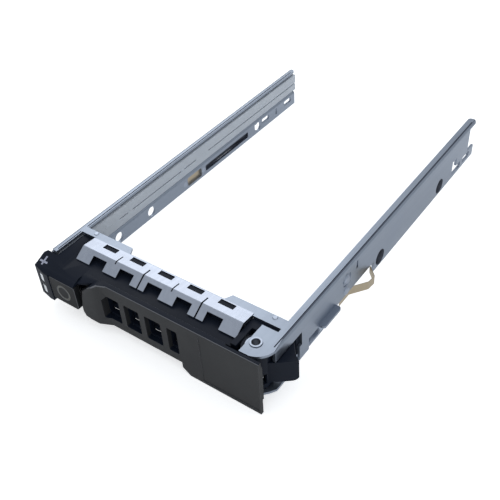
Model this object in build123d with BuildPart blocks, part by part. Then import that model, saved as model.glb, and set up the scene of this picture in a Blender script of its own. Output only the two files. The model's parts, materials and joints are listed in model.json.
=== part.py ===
from build123d import *
import os
from math import cos, radians, sin

os.makedirs("parts", exist_ok=True)

# Hot swap caddy for a 2.5 inch drive, in millimetres.
# Modelling frame: X across the bay from its middle, Y to the rear from the front edge
# of the tray's cross bar, Z up from the tray's top plane. The finished pieces move to
# the frame whose zero is the middle of the caddy's footprint, at its lowest level.

# Drive
drive_width = 69.85
drive_length = 100.45
drive_side_gap = 0.18
drive_end_gap = 0.4
screw_span = 76.6
screw_inset = 14.0

# Folded sheet of the tray
sheet = 0.8
bend_inner = 0.2
rail_depth = 3.2
rail_height = 13.3
right_height = 13.8
rail_rear = 116.2
rail_front_left = 10.5
rail_front_right = 8.0
flange_width_left = 2.4
flange_width_right = 2.85
flange_round = 1.1
groove_width = 0.35
groove_depth = 0.25
groove_inset_left = 0.45
groove_inset_right = 0.95
shelf_drop = 8.0
ear_depth = 2.3
ear_reach = 18.0
bar_depth = 4.8
screw_rise = 2.45
screw_hole = 3.5
web_short_left = 1.7
web_short_right = 4.6
tab_reach = 0.7

# Lug, notches and leg at the front of the right rail
lug_front = 3.1
lug_rear = 7.6
gate_rear = 4.2
lip_drop = 4.2
front_web_drop = 9.9
notch_rear = 43.8
leg_rear = 16.5
guide_tab_mid = 17.2
guide_tab_length = 9.0
guide_tab_reach = 1.8

# Openings of the two rails, counted from the rails' rear where they lie near it
cup_front = 47.5
sight_step = 15.5
clip_window_front = 47.0
clip_window_rear = 54.6
clip_slot_front = 57.0
clip_slot_rear = 82.6
clip_slot_height = 2.2
slot_length = 4.8
slot_height = 1.8
slot_insets = (22.0, 6.7)
slit_width = 0.9
slit_height = 2.4
slit_insets = (28.7, 14.8)
key_inset = 17.2
key_length = 7.0
key_width = 3.4
key_top = 7.2
key_step = 10.4
key_bottom = 12.6
eye_inset = 5.6
eye_length = 6.0
vertical_slit = 33.1

# Pivot of the eject lever
pivot_inset = 2.4
pivot_y = -8.1
pivot_pin = 3.0
pivot_gap = 0.06
plate_drop = 14.8
plate_left = 2.1
slot_front = 2.3
slot_rear = 1.0
washer_thickness = 0.4
washer_radius = 2.9
head_radius = 1.75
head_height = 0.25
knuckle_radius = 3.9
cam_radius = 10.8
cam_angle = 22.0
cam_top = 4.6
cam_bottom = 12.0
cam_round = 1.4

# Bezel
body_overhang = 2.0
body_front = 16.8
body_top = 2.3
body_bottom = 11.2
body_mid_front = 11.0
block_inset = 10.9
block_bottom = 14.0
block_level = 0.95
facet_width = 4.1
facet_depth = 0.8
wall_gap = 0.2
body_gap = 0.3
boss_rear = 2.1
shelf_low = 4.25
vent_pitch = 6.1
vent_width = 4.9
vent_height = 6.0
vent_count = 7
vent_mid = 2.0
rivet_radius = 0.45
rivet_head = 0.75

# Hooks of the bezel, seen through the windows of cross bar and gasket
hook_pitch = 10.4
hook_width = 4.6
hook_count = 5
hook_drop = 2.9
hook_gap = 0.2
hook_front = 2.3
hook_rear = 0.7

# Lever and its cover
cover_front = 14.3
cover_thickness = 1.5
cover_top = 0.6
cover_bottom = 14.6
cover_reach = 5.0
cover_gap = 0.9
skirt_bottom = 18.6
skirt_left = 12.0
bulge_front = 16.0
rebate_depth = 1.0
field_left = 19.0
field_depth = 0.12
arm_thickness = 1.6
arm_top = 2.6
arm_bottom = 12.0
window_top = 3.3
window_bottom = 11.8
window_chamfer = 1.6
window_round = 0.5

# Release button
button_width = 10.3
button_top = 4.2
button_bottom = 12.6
button_front = 16.6
button_travel = 1.5
button_plate = 2.0
ring_outer = 2.6
ring_inner = 2.1
ring_depth = 0.2
stem_radius = 1.2
spring_seat = 10.8
spring_bore = 2.6
spring_wire = 0.35

# Gasket of spring fingers
gasket_sheet = 0.2
gasket_inset_left = 4.6
gasket_inset_right = 8.5
gasket_crest = 0.5
finger_pitch = 10.3
finger_width = 5.1
finger_reach = 8.4
finger_drop = 1.9

# Light pipes
pipe_width = 1.7
pipe_gap = 0.5
pipe_height = 3.4
pipe_top = 1.6
pipe_seam = 0.4
pipe_short = 0.2
pipe_bend = 9.0
pipe_fall = 3.1
head_height_pipe = 3.0
head_drop_upper = 6.7
head_drop_lower = 11.2
head_left = 1.4
head_width = 1.8
head_gap = 0.15

# Grounding clips and their rivets
clip_sheet = 0.15
clip_front_left = 44.2
clip_tail = 1.4
clip_bow_left = 1.0
clip_front_right = 25.0
clip_fold_right = 30.0
clip_rear_right = 44.2
clip_bow_right = 3.0
stake_radius = 0.9
stake_head = 1.3

# Values worked out from the sizes above
bay_half = drive_width / 2 + drive_side_gap
rail_outer = bay_half + rail_depth
web_mid = rail_outer - sheet / 2
web_inner = rail_outer - sheet
strip_mid = bay_half + sheet / 2
strip_outer = bay_half + sheet
bend_mid = bend_inner + sheet / 2
drive_front = ear_depth + drive_end_gap
screw_front = drive_front + drive_length - screw_inset - screw_span
screw_rear = screw_front + screw_span
screw_z = screw_rise - rail_height
tab_rear = rail_rear + tab_reach
pivot_x = bay_half - pivot_inset
pin_hole = pivot_pin / 2 + pivot_gap
plate_top = plate_drop - sheet
knuckle_top = sheet + washer_thickness + pivot_gap
knuckle_bottom = plate_top - washer_thickness - pivot_gap
wing_right = pivot_x - knuckle_radius - body_gap
shelf_front = pivot_y + knuckle_radius + body_gap
body_left = rail_outer + body_overhang
block_right = bay_half - block_inset
block_back = rail_front_left + body_gap
gasket_left = bay_half - gasket_inset_left
gasket_right = bay_half - gasket_inset_right
gasket_mid = (gasket_right - gasket_left) / 2
bar_left = gasket_left - body_gap
hook_places = [gasket_mid + hook_pitch * (step - (hook_count - 1) / 2) for step in range(hook_count)]
vent_z = -(body_top + body_bottom) / 2
cover_back = cover_front - cover_thickness
cover_right = pivot_x + cover_reach
cover_left = block_right - cover_gap
arm_back = cover_back - arm_thickness
arm_left = block_right - 2.8
cam_tip_x = pivot_x + cam_radius * cos(radians(cam_angle))
cam_tip_y = pivot_y + cam_radius * sin(radians(cam_angle))
button_right = block_right - 0.1
button_left = button_right + button_width
button_mid = button_right + button_width / 2
button_z = -(button_top + button_bottom) / 2
pipe_inner = bay_half + pipe_gap
pipe_outer = pipe_inner + pipe_width
pipe_rear = rail_rear - pipe_short
pipe_upper_low = -pipe_top - pipe_height
pipe_lower_top = pipe_upper_low - pipe_seam
pipe_lower_low = 0.05 - shelf_drop
head_outer = body_left - head_left
head_inner = head_outer - head_width
home = Location(((body_left - cam_tip_x) / 2, (body_front - tab_rear) / 2, skirt_bottom))
low = (Align.MIN, Align.MIN, Align.MIN)
seated = (Align.CENTER, Align.CENTER, Align.MIN)


def cut_span(x, y, z):
    """Take away the block between the given low and high values."""
    with Locations((x[0], y[0], z[0])):
        Box(x[1] - x[0], y[1] - y[0], z[1] - z[0], align=low, mode=Mode.SUBTRACT)


def add_span(x, y, z):
    """Add the block between the given low and high values."""
    with Locations((x[0], y[0], z[0])):
        Box(x[1] - x[0], y[1] - y[0], z[1] - z[0], align=low)


# Tray: both rails, the cross bar and the two pivot plates, folded from one sheet
with BuildPart() as tray:
    # Left rail: top flange, outer web, shelf and inner strip
    with BuildSketch(Plane.XZ.offset(-rail_rear)):
        with BuildLine():
            FilletPolyline(
                (flange_width_left - rail_outer, -sheet / 2),
                (-web_mid, -sheet / 2),
                (-web_mid, -shelf_drop - sheet / 2),
                (-strip_mid, -shelf_drop - sheet / 2),
                (-strip_mid, -rail_height),
                radius=bend_mid,
            )
        trace(line_width=sheet)
    extrude(amount=rail_rear + rail_front_left)
    front_end = (-rail_front_left, ear_depth)
    rear_end = (rail_rear - web_short_left, rail_rear)
    cut_span((-web_inner, sheet - bay_half), front_end, (-rail_height, -sheet * 2))
    cut_span((-rail_outer, sheet - bay_half), rear_end, (-rail_height, -sheet - bend_inner))
    # Right rail: top flange and outer web
    with BuildSketch(Plane.XZ.offset(-tab_rear)):
        with BuildLine():
            FilletPolyline(
                (rail_outer - flange_width_right, -sheet / 2),
                (web_mid, -sheet / 2),
                (web_mid, -right_height),
                radius=bend_mid,
            )
        trace(line_width=sheet)
    extrude(amount=tab_rear + rail_front_right)
    right_web = (bay_half, rail_outer)
    cut_span(right_web, (-rail_front_right, gate_rear), (-right_height, -lip_drop))
    cut_span(right_web, (gate_rear, notch_rear), (-right_height, -front_web_drop))
    cut_span(right_web, (rail_rear - web_short_right, tab_rear), (-front_web_drop, -sheet - bend_inner))
    # Rounded ends of the two top flanges
    flange_ends = (
        (-rail_outer, -rail_front_left, 1, 1),
        (-rail_outer, rail_rear, 1, -1),
        (flange_width_left - rail_outer, rail_rear, -1, -1),
        (rail_outer, tab_rear, -1, -1),
        (rail_outer - flange_width_right, tab_rear, 1, -1),
    )
    for end_x, end_y, to_x, to_y in flange_ends:
        with BuildSketch(Plane.XY):
            with Locations((end_x + to_x * flange_round / 2, end_y + to_y * flange_round / 2)):
                Rectangle(flange_round, flange_round)
            with Locations((end_x + to_x * flange_round, end_y + to_y * flange_round)):
                Circle(flange_round, mode=Mode.SUBTRACT)
        extrude(amount=-sheet - bend_inner, mode=Mode.SUBTRACT)
    # Cross bar: top strip, front wall and bottom lip, open to the rear
    with BuildSketch(Plane.YZ.offset(-bar_left)):
        with BuildLine():
            FilletPolyline(
                (0, -sheet / 2),
                (sheet / 2 - bar_depth, -sheet / 2),
                (sheet / 2 - bar_depth, sheet / 2 - rail_height),
                (-sheet, sheet / 2 - rail_height),
                radius=bend_mid,
            )
        trace(line_width=sheet)
    extrude(amount=bar_left + gasket_right)
    # Ears of the cross bar, in the top plane
    ear_left = sheet + flange_round - rail_outer
    ear_right = rail_outer - flange_width_right + 0.5
    with BuildSketch(Plane.XY):
        with BuildLine():
            Polyline(
                (ear_left, 0),
                (-bar_left, 0),
                (-bar_left, -slot_rear),
                (ear_right, -slot_rear),
                (ear_right, ear_depth),
                (ear_reach, ear_depth),
                (ear_reach - 1.2, 0),
                (1.2 - ear_reach, 0),
                (-ear_reach, ear_depth),
                (ear_left, ear_depth),
                close=True,
            )
        make_face()
    extrude(amount=-sheet)
    # Upper pivot plate, cut free of the cross bar by a slot
    plate_tip = (rail_outer - bend_inner / 2, -rail_front_right)
    with BuildSketch(Plane.XY):
        with BuildLine():
            Polyline(
                plate_tip,
                (rail_outer - flange_round, -slot_rear),
                (gasket_right, -slot_rear),
                (gasket_right, -slot_front),
                (pivot_x - plate_left, -slot_front),
                (pivot_x - plate_left, pivot_y - 4.5),
                (pivot_x + 0.9, pivot_y - 4.5),
            )
            ThreePointArc((pivot_x + 0.9, pivot_y - 4.5), (pivot_x + 3.95, pivot_y - 2.85), plate_tip)
        make_face()
        slot_right = rail_outer - flange_width_right
        with Locations(((slot_right + gasket_right) / 2, -(slot_front + slot_rear) / 2)):
            Rectangle(slot_right - gasket_right, slot_front - slot_rear, mode=Mode.SUBTRACT)
    extrude(amount=-sheet)
    # Lower pivot plate with the neck to the lug
    with BuildSketch(Plane.XY.offset(-plate_drop)):
        with BuildLine():
            Polyline(
                (rail_outer + body_gap, pivot_y - 0.2),
                (rail_outer + body_gap, pivot_y + 4.2),
                (web_inner, pivot_y + 5.4),
                (web_inner, leg_rear),
                (strip_outer, leg_rear),
                (strip_outer, ear_depth),
                (pivot_x - 4.2, ear_depth),
                (pivot_x - 4.2, pivot_y - 4.4),
                (pivot_x + 1.6, pivot_y - 4.4),
                (pivot_x + 3.4, pivot_y - 3.5),
                (pivot_x + 4.9, pivot_y - 1.8),
                close=True,
            )
        make_face()
    extrude(amount=sheet)
    # Lug that joins the lower plate to the web
    with BuildSketch(Plane.XZ.offset(-lug_rear)):
        with BuildLine():
            FilletPolyline(
                (web_mid, 1 - front_web_drop),
                (web_mid, sheet / 2 - plate_drop),
                (bay_half + 1, sheet / 2 - plate_drop),
                radius=bend_mid,
            )
        trace(line_width=sheet)
    extrude(amount=lug_rear - lug_front)
    # Leg with the front screw hole, turned up from the lower plate
    with BuildSketch(Plane.XZ.offset(-leg_rear)):
        with BuildLine():
            FilletPolyline(
                (rail_outer - 1.2, sheet / 2 - plate_drop),
                (strip_mid, sheet / 2 - plate_drop),
                (strip_mid, -shelf_drop),
                radius=bend_mid,
            )
        trace(line_width=sheet)
    extrude(amount=leg_rear - lug_rear - 1)
    # Guide tab turned outwards at the foot of the right web
    with BuildSketch(Plane.XY.offset(-front_web_drop)):
        with Locations((web_inner + (sheet + guide_tab_reach) / 2, guide_tab_mid)):
            RectangleRounded(sheet + guide_tab_reach, guide_tab_length, sheet)
    extrude(amount=sheet)
    # Coined grooves along the flanges
    left_groove = flange_width_left - rail_outer - groove_inset_left
    right_groove = rail_outer - groove_inset_right
    groove_level = (-groove_depth, sheet)
    groove_runs = (
        (left_groove, -rail_front_left + 1, -0.2),
        (left_groove, ear_depth + 0.2, rail_rear - 2 * flange_round),
        (right_groove, 1 - rail_front_right, tab_rear - 2 * flange_round),
    )
    for groove_x, run_front, run_rear in groove_runs:
        groove_span = (groove_x - groove_width / 2, groove_x + groove_width / 2)
        cut_span(groove_span, (run_front, run_rear), groove_level)
    # Pin holes of the two pivot plates
    with Locations((pivot_x, pivot_y, -plate_drop)):
        Cylinder(pin_hole, plate_drop, align=seated, mode=Mode.SUBTRACT)
    # Rivet holes of the ears
    for rivet_x in (-bay_half + 3.6, bay_half - 3.1):
        with Locations((rivet_x, ear_depth - rivet_head - 0.1, -sheet)):
            Cylinder(rivet_radius, sheet, align=seated, mode=Mode.SUBTRACT)
    # Screw holes, sight hole, clip openings and rear slots of the left strip
    with BuildSketch(Plane.YZ.offset(-strip_outer - 0.1)):
        with Locations((screw_front, screw_z), (screw_rear, screw_z), (screw_front + sight_step, screw_z)):
            Circle(screw_hole / 2)
        with Locations(((clip_window_front + clip_window_rear) / 2, screw_z)):
            RectangleRounded(clip_window_rear - clip_window_front, clip_slot_height + 1, window_round)
        with Locations(((clip_slot_front + clip_slot_rear) / 2, screw_z)):
            RectangleRounded(clip_slot_rear - clip_slot_front, clip_slot_height, window_round)
        with Locations([(rail_rear - inset, screw_z + 0.7) for inset in slot_insets]):
            RectangleRounded(slot_length, slot_height, window_round)
        with Locations([(rail_rear - inset, screw_z + 0.4) for inset in slit_insets]):
            Rectangle(slit_width, slit_height)
        with Locations((clip_front_left + 1.4, screw_z), (clip_slot_front - 1.2, screw_z)):
            Circle(stake_radius)
    extrude(amount=sheet + 0.2, mode=Mode.SUBTRACT)
    # Openings of the right web: a key-shaped one, an eye, a slit and the front screw's access
    with BuildSketch(Plane.YZ.offset(web_inner - 0.1)):
        key_front = rail_rear - key_inset
        with Locations((key_front + key_width / 2, -(key_top + key_bottom) / 2)):
            Rectangle(key_width, key_bottom - key_top)
        with Locations((key_front + key_length / 2, -(key_step + key_bottom) / 2)):
            RectangleRounded(key_length, key_bottom - key_step, window_round)
        with Locations((rail_rear - eye_inset, -(key_step + key_bottom) / 2)):
            SlotOverall(eye_length, key_bottom - key_step)
        with Locations((vertical_slit, -slit_height - 0.4)):
            Rectangle(slit_width, slit_height + 0.4)
        with Locations((clip_front_right + 2.4, -lip_drop), (clip_front_right + 2.4, -lip_drop * 2)):
            Circle(stake_radius)
    extrude(amount=sheet + 0.2, mode=Mode.SUBTRACT)
    # Coined ring round the upper stake of the clip
    with BuildSketch(Plane.YZ.offset(rail_outer)):
        with Locations((clip_front_right + 2.4, -lip_drop)):
            Circle(stake_head + 1.0)
            Circle(stake_head + 0.3, mode=Mode.SUBTRACT)
    extrude(amount=-groove_depth, mode=Mode.SUBTRACT)
    # Front screw hole in the leg
    with Locations(Location((bay_half - 0.1, screw_front, screw_z), (0, 90, 0))):
        Cylinder(screw_hole / 2, sheet + 0.2, align=seated, mode=Mode.SUBTRACT)
    # Countersunk cups pressed in from the right web to the bay's side
    for cup_y in (cup_front, screw_rear):
        with Locations(Location((bay_half, cup_y, screw_z), (0, 90, 0))):
            Cone(screw_hole / 2 + 0.55, screw_hole / 2 + 1.15, rail_depth - sheet / 2, align=seated)
    for cup_y in (cup_front, screw_rear):
        with Locations(Location((bay_half + sheet, cup_y, screw_z), (0, 90, 0))):
            cup_reach = rail_depth - sheet + 0.01
            Cone(screw_hole / 2 + 0.05, screw_hole / 2 + 0.85, cup_reach, align=seated, mode=Mode.SUBTRACT)
        with Locations(Location((bay_half, cup_y, screw_z), (0, 90, 0))):
            Cylinder(screw_hole / 2, sheet + 0.2, align=seated, mode=Mode.SUBTRACT)
    # Air openings of the front wall
    with BuildSketch(Plane.XZ.offset(bar_depth - sheet - 0.2)):
        with Locations((vent_mid, vent_z)):
            with GridLocations(vent_pitch, 1, vent_count, 1):
                RectangleRounded(vent_width, vent_height, sheet)
    extrude(amount=sheet + 0.4, mode=Mode.SUBTRACT)
    # Windows for the bezel's hooks, in the top strip and in the front wall
    for hook_x in hook_places:
        hook_span = (hook_x - hook_width / 2 - hook_gap, hook_x + hook_width / 2 + hook_gap)
        cut_span(hook_span, (-hook_front - hook_gap, hook_gap - hook_rear), (-sheet, sheet))
        wall_span = (-bar_depth, sheet + bend_inner - bar_depth)
        cut_span(hook_span, wall_span, (-hook_drop - hook_gap, -sheet - bend_inner))
tray.part.label = "tray"
export_step(tray.part.locate(home), "parts/tray.step")

# Bezel body: vented middle, hooks, and the block that holds button and light pipes
with BuildPart() as bezel_body:
    with BuildSketch(Plane.XZ.offset(bar_depth)):
        with Locations(((wing_right - block_right - 1) / 2, vent_z)):
            Rectangle(wing_right + block_right + 1, body_bottom - body_top)
    extrude(amount=body_mid_front - bar_depth)
    # Shelf under the pivot plate's slot and the right ear, round the knuckles
    with BuildSketch(Plane.XY.offset(-shelf_low)):
        with BuildLine():
            Polyline(
                (gasket_right + hook_gap, -body_mid_front),
                (wing_right, -body_mid_front),
                (wing_right, shelf_front),
                (bay_half - wall_gap, shelf_front),
                (bay_half - wall_gap, boss_rear),
                (gasket_right + hook_gap, boss_rear),
                close=True,
            )
        make_face()
    extrude(amount=shelf_low - block_level)
    # Left block in plan, with the facet of the lamp windows
    with BuildSketch(Plane.XY.offset(-block_bottom)):
        with BuildLine():
            Polyline(
                (-block_right, -body_front),
                (-block_right, -bar_depth),
                (-gasket_left, -bar_depth),
                (-gasket_left, boss_rear),
                (-bay_half - body_gap, boss_rear),
                (-bay_half - body_gap, -block_back),
                (0.9 - body_left, -block_back),
                (-body_left, -block_back - 0.9),
                (-body_left, facet_depth - body_front),
                (facet_width - body_left, -body_front),
                close=True,
            )
        make_face()
    extrude(amount=block_bottom)
    # Top of the block: falls away to the front and rolls over above the button
    with BuildSketch(Plane.YZ.offset(-body_left - 1)):
        with BuildLine():
            Polyline(
                (-body_front, -button_top),
                (-body_front - 1, -button_top),
                (-body_front - 1, 1),
                (boss_rear + 1, 1),
                (boss_rear + 1, -block_level),
                (-block_back, -block_level),
                (-body_front + 1.8, -block_level - 1.8),
            )
            ThreePointArc(
                (-body_front + 1.8, -block_level - 1.8),
                (-body_front + 0.5, -block_level - 2.45),
                (-body_front, -button_top),
            )
        make_face()
    extrude(amount=body_left - block_right + 2, mode=Mode.SUBTRACT)
    # The top also sinks from the rail towards the gasket
    with BuildSketch(Plane.XZ.offset(wall_gap)):
        with BuildLine():
            Polyline(
                (1 - block_right, -body_top),
                (1 - block_right, 1),
                (-bay_half - body_gap, 1),
                (-bay_half - body_gap, -block_level),
            )
            ThreePointArc(
                (-bay_half - body_gap, -block_level),
                (1.6 - bay_half, -block_level - 0.25),
                (-gasket_left, 0.15 - body_top),
            )
            Line((-gasket_left, 0.15 - body_top), (1 - block_right, -body_top))
        make_face()
    extrude(amount=body_front, mode=Mode.SUBTRACT)
    # Place of the button, open to the front and below
    button_span = (-button_left - wall_gap, 1 - block_right)
    below = -block_bottom - 1
    cut_span(button_span, (-body_front - 1, -cover_back), (below, 0.3 - button_top))
    cut_span(button_span, (-body_front - 1, 1), (below, -button_bottom - wall_gap))
    cut_span((-bay_half, 1 - block_right), (-rail_front_left, boss_rear + 1), (below, -body_bottom))
    with Locations(Location((-button_mid, -cover_back, button_z), (-90, 0, 0))):
        Cylinder(spring_bore, cover_back - spring_seat, align=seated, mode=Mode.SUBTRACT)
        Cylinder(stem_radius + 0.1, 4.0, align=seated, mode=Mode.SUBTRACT)
    # Cavity of the latch, open to the front where the lever's catch comes in
    latch_level = (-10.4, -5.0)
    cut_span((-block_right - 9.4, 4.6 - block_right), (-10.0, -5.6), latch_level)
    cut_span((-block_right - 1.8, 4.6 - block_right), (-14.0, -9.9), latch_level)
    # Roof over the catch
    roof_depth = (body_gap - cover_back, 0.1 - body_mid_front)
    add_span((-block_right - 0.5, 4.6 - block_right), roof_depth, (-4.7, -2.5))
    # Shaft of the light pipes, their two channels and the lamp windows in the facet
    with BuildSketch(Plane.YZ.offset(-pipe_outer - body_gap)):
        with BuildLine():
            Polyline(
                (-rail_front_left, -1.6),
                (-block_back - 0.5, -1.7),
                (-block_back - 2.3, -4.4),
                (-block_back - 2.3, -head_drop_lower - 1.7),
                (-rail_front_left, -head_drop_lower - 1.7),
                close=True,
            )
        make_face()
    extrude(amount=pipe_width + 2 * body_gap, mode=Mode.SUBTRACT)
    for head_drop in (head_drop_upper, head_drop_lower):
        head_half = head_height_pipe / 2 + wall_gap
        head_level = (-head_drop - head_half, head_half - head_drop)
        cut_span((-head_outer - wall_gap, wall_gap - pipe_inner), (-14.9, -12.0), head_level)
        cut_span((-head_outer - head_gap, head_gap - head_inner), (-body_front - 1, -14.8), head_level)
    # Vents in line with those of the tray's front wall
    with BuildSketch(Plane.XZ.offset(bar_depth - 1)):
        with Locations((vent_mid, vent_z)):
            with GridLocations(vent_pitch, 1, vent_count, 1):
                RectangleRounded(vent_width, vent_height, sheet)
    extrude(amount=body_mid_front, mode=Mode.SUBTRACT)
    # Hooks that pass the front wall and snap up through the windows
    for hook_x in hook_places:
        with BuildSketch(Plane.YZ.offset(hook_x - hook_width / 2)):
            with BuildLine():
                hook_level = -sheet - bend_inner - hook_gap
                Polyline(
                    (-bar_depth - sheet, -hook_drop),
                    (-hook_rear, -hook_drop),
                    (-hook_rear, -0.1),
                    (0.3 - hook_front, -0.1),
                    (-hook_front, hook_level),
                    (-bar_depth - sheet, hook_level),
                    close=True,
                )
            make_face()
        extrude(amount=hook_width)
    # Rivet holes under the two ears
    for rivet_x in (-bay_half + 3.6, bay_half - 3.1):
        with Locations((rivet_x, ear_depth - rivet_head - 0.1, -body_top - sheet)):
            Cylinder(rivet_radius, body_top + sheet, align=seated, mode=Mode.SUBTRACT)
bezel_body.part.label = "bezel_body"
export_step(bezel_body.part.locate(home), "parts/bezel_body.step")

# Rivets that hold the bezel under the ears
with BuildPart() as bezel_rivets:
    for rivet_x in (-bay_half + 3.6, bay_half - 3.1):
        with Locations((rivet_x, ear_depth - rivet_head - 0.1, -body_top - sheet)):
            Cylinder(rivet_radius, body_top + sheet, align=seated)
        with Locations((rivet_x, ear_depth - rivet_head - 0.1, 0)):
            Cone(rivet_head, rivet_head - 0.15, 0.2, align=seated)
bezel_rivets.part.label = "bezel_rivets"
export_step(bezel_rivets.part.locate(home), "parts/bezel_rivets.step")

# Spans of the four windows along X, shared by the cover and the arm behind it
window_spans = ((-15.0, -9.0), (-7.2, -1.7), (0.3, 6.0), (8.1, 11.6))
window_z = -(window_top + window_bottom) / 2

# Cover of the lever: front panel with four windows, bulged left end and deep skirt
with BuildPart() as handle_cover:
    with BuildSketch(Plane.XY.offset(-skirt_bottom)):
        with BuildLine():
            Polyline(
                (-cover_left, -cover_back),
                (-cover_left, 0.3 - bulge_front),
                (0.4 - cover_left, -bulge_front),
                (6.3 - cover_left, -bulge_front),
                (10.3 - cover_left, -cover_front),
                (cover_right, -cover_front),
                (cover_right, -cover_back),
                close=True,
            )
        make_face()
    extrude(amount=skirt_bottom + cover_top)
    with BuildSketch(Plane.XZ.offset(cover_back - 1)):
        with BuildLine():
            Polyline(
                (1.1 - cover_left, 0.3 - cover_bottom),
                (0.1 - cover_left, -12.2),
                (2.0 - cover_left, -4.2),
                (5.0 - cover_left, -1.2),
                (7.8 - cover_left, cover_top),
                (cover_right, cover_top),
                (cover_right, -skirt_bottom),
                (skirt_left + 2.5, -skirt_bottom),
                (skirt_left, -skirt_bottom + 2.0),
                (skirt_left, -cover_bottom),
                (3.2 - cover_left, -cover_bottom),
                close=True,
            )
        make_face()
    extrude(amount=bulge_front, mode=Mode.INTERSECT)
    for left, right in window_spans:
        with BuildSketch(Plane.XZ.offset(cover_back - 1)):
            with Locations(((left + right) / 2, window_z)):
                RectangleRounded(right - left, window_bottom - window_top, window_round)
            # The first window loses its top corner to the bulge
            if left == window_spans[0][0]:
                with Locations(Location((left, -window_top), 45)):
                    Rectangle(window_chamfer * 1.4, window_chamfer * 1.4, mode=Mode.SUBTRACT)
        extrude(amount=bulge_front, mode=Mode.SUBTRACT)
    # Shallow field on the skirt
    field = (field_left, cover_right - window_round)
    cut_span(field, (-cover_front - 1, field_depth - cover_front), (1 - skirt_bottom, -window_round))
    # Rebates that let the panel swing past the pivot plates
    rebate = (pivot_x - cover_reach - sheet, cover_right)
    rebate_deep = (rebate_depth - cover_front, -cover_back)
    cut_span(rebate, rebate_deep, (-sheet - 0.5, cover_top))
    cut_span(rebate, rebate_deep, (-skirt_bottom, 0.4 - plate_top))
handle_cover.part.label = "handle_cover"
export_step(handle_cover.part.locate(home), "parts/handle_cover.step")

# Eject lever: arm behind the cover, knuckles on the pin, cam and catch
with BuildPart() as eject_lever:
    arm_right = pivot_x + 1.8
    with BuildSketch(Plane.XZ.offset(arm_back)):
        with BuildLine():
            Polyline(
                (-arm_left, -arm_bottom),
                (-arm_left, -5.1),
                (2.3 - arm_left, -5.1),
                (3.9 - arm_left, -arm_top),
                (arm_right, -arm_top),
                (arm_right, -arm_bottom),
                close=True,
            )
        make_face()
        for left, right in window_spans:
            opening = window_bottom - window_top - window_chamfer
            with Locations(((left + right) / 2, window_z)):
                RectangleRounded(right - left, opening, window_round, mode=Mode.SUBTRACT)
    extrude(amount=arm_thickness)
    with Locations((pivot_x, pivot_y, -knuckle_bottom)):
        Cylinder(knuckle_radius, knuckle_bottom - knuckle_top, align=seated)
    # Cam with a hollow front face
    with BuildSketch(Plane.XY.offset(-cam_bottom)):
        with BuildLine():
            Line((pivot_x + 1.5, pivot_y + 3.2), (pivot_x + 8.2, pivot_y + 5.4))
            Line((pivot_x + 8.2, pivot_y + 5.4), (cam_tip_x, cam_tip_y))
            cam_heel = (pivot_x + 3.6, pivot_y - 1.0)
            ThreePointArc((cam_tip_x, cam_tip_y), (pivot_x + 6.6, pivot_y + 1.2), cam_heel)
            Line(cam_heel, (pivot_x + 1.5, pivot_y + 3.2))
        make_face()
    extrude(amount=cam_bottom - cam_top)
    # Rounded foot of the cam's tip
    with BuildSketch(Plane.XZ.offset(-pivot_y)):
        with Locations((cam_tip_x - cam_round / 2, cam_round / 2 - cam_bottom)):
            Rectangle(cam_round, cam_round)
        with Locations((cam_tip_x - cam_round, cam_round - cam_bottom)):
            Circle(cam_round, mode=Mode.SUBTRACT)
    extrude(amount=-2 * knuckle_radius, mode=Mode.SUBTRACT)
    # Catch that the latch spring holds
    catch_level = (-9.8, -5.6)
    add_span((-arm_left - 1.0, 0.4 - arm_left), (-arm_back - 0.5, -7.4), catch_level)
    add_span((-block_right, -arm_left - 0.6), (-8.6, -7.4), catch_level)
    # Room for the torsion spring round the pin, with a gate at the front
    with Locations((pivot_x, pivot_y, -cam_bottom)):
        Cylinder(knuckle_radius - 0.5, 4.6, align=seated, mode=Mode.SUBTRACT)
    cut_span((arm_right, pivot_x + knuckle_radius), (-arm_back + 0.1, pivot_y - 1.2), (-cam_bottom, -8.4))
    with Locations((pivot_x, pivot_y, -plate_drop)):
        Cylinder(pin_hole, plate_drop, align=seated, mode=Mode.SUBTRACT)
eject_lever.part.label = "eject_lever"
export_step(eject_lever.part.locate(home), "parts/eject_lever.step")

# Pivot rivet with a dished head above and a set head below
with BuildPart() as pivot_rivet:
    with Locations((pivot_x, pivot_y, -plate_drop - 0.5)):
        Cylinder(pivot_pin / 2, plate_drop + 0.5 + head_height, align=seated)
        Cylinder(head_radius + 0.4, 0.5, align=seated)
    with Locations((pivot_x, pivot_y, 0)):
        Cylinder(head_radius, head_height, align=seated)
    with Locations((pivot_x, pivot_y, head_height + 0.35)):
        Sphere(1.2, mode=Mode.SUBTRACT)
pivot_rivet.part.label = "pivot_rivet"
export_step(pivot_rivet.part.locate(home), "parts/pivot_rivet.step")

# Washers above and below the lever's knuckles
with BuildPart() as pivot_washer_upper:
    with BuildSketch(Plane.XY.offset(-sheet - washer_thickness)):
        with Locations((pivot_x, pivot_y)):
            Circle(washer_radius)
            Circle(pin_hole, mode=Mode.SUBTRACT)
    extrude(amount=washer_thickness)
pivot_washer_upper.part.label = "pivot_washer_upper"
export_step(pivot_washer_upper.part.locate(home), "parts/pivot_washer_upper.step")

with BuildPart() as pivot_washer_lower:
    with BuildSketch(Plane.XY.offset(-plate_top)):
        with Locations((pivot_x, pivot_y)):
            Circle(washer_radius)
            Circle(pin_hole, mode=Mode.SUBTRACT)
    extrude(amount=washer_thickness)
pivot_washer_lower.part.label = "pivot_washer_lower"
export_step(pivot_washer_lower.part.locate(home), "parts/pivot_washer_lower.step")

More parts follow.
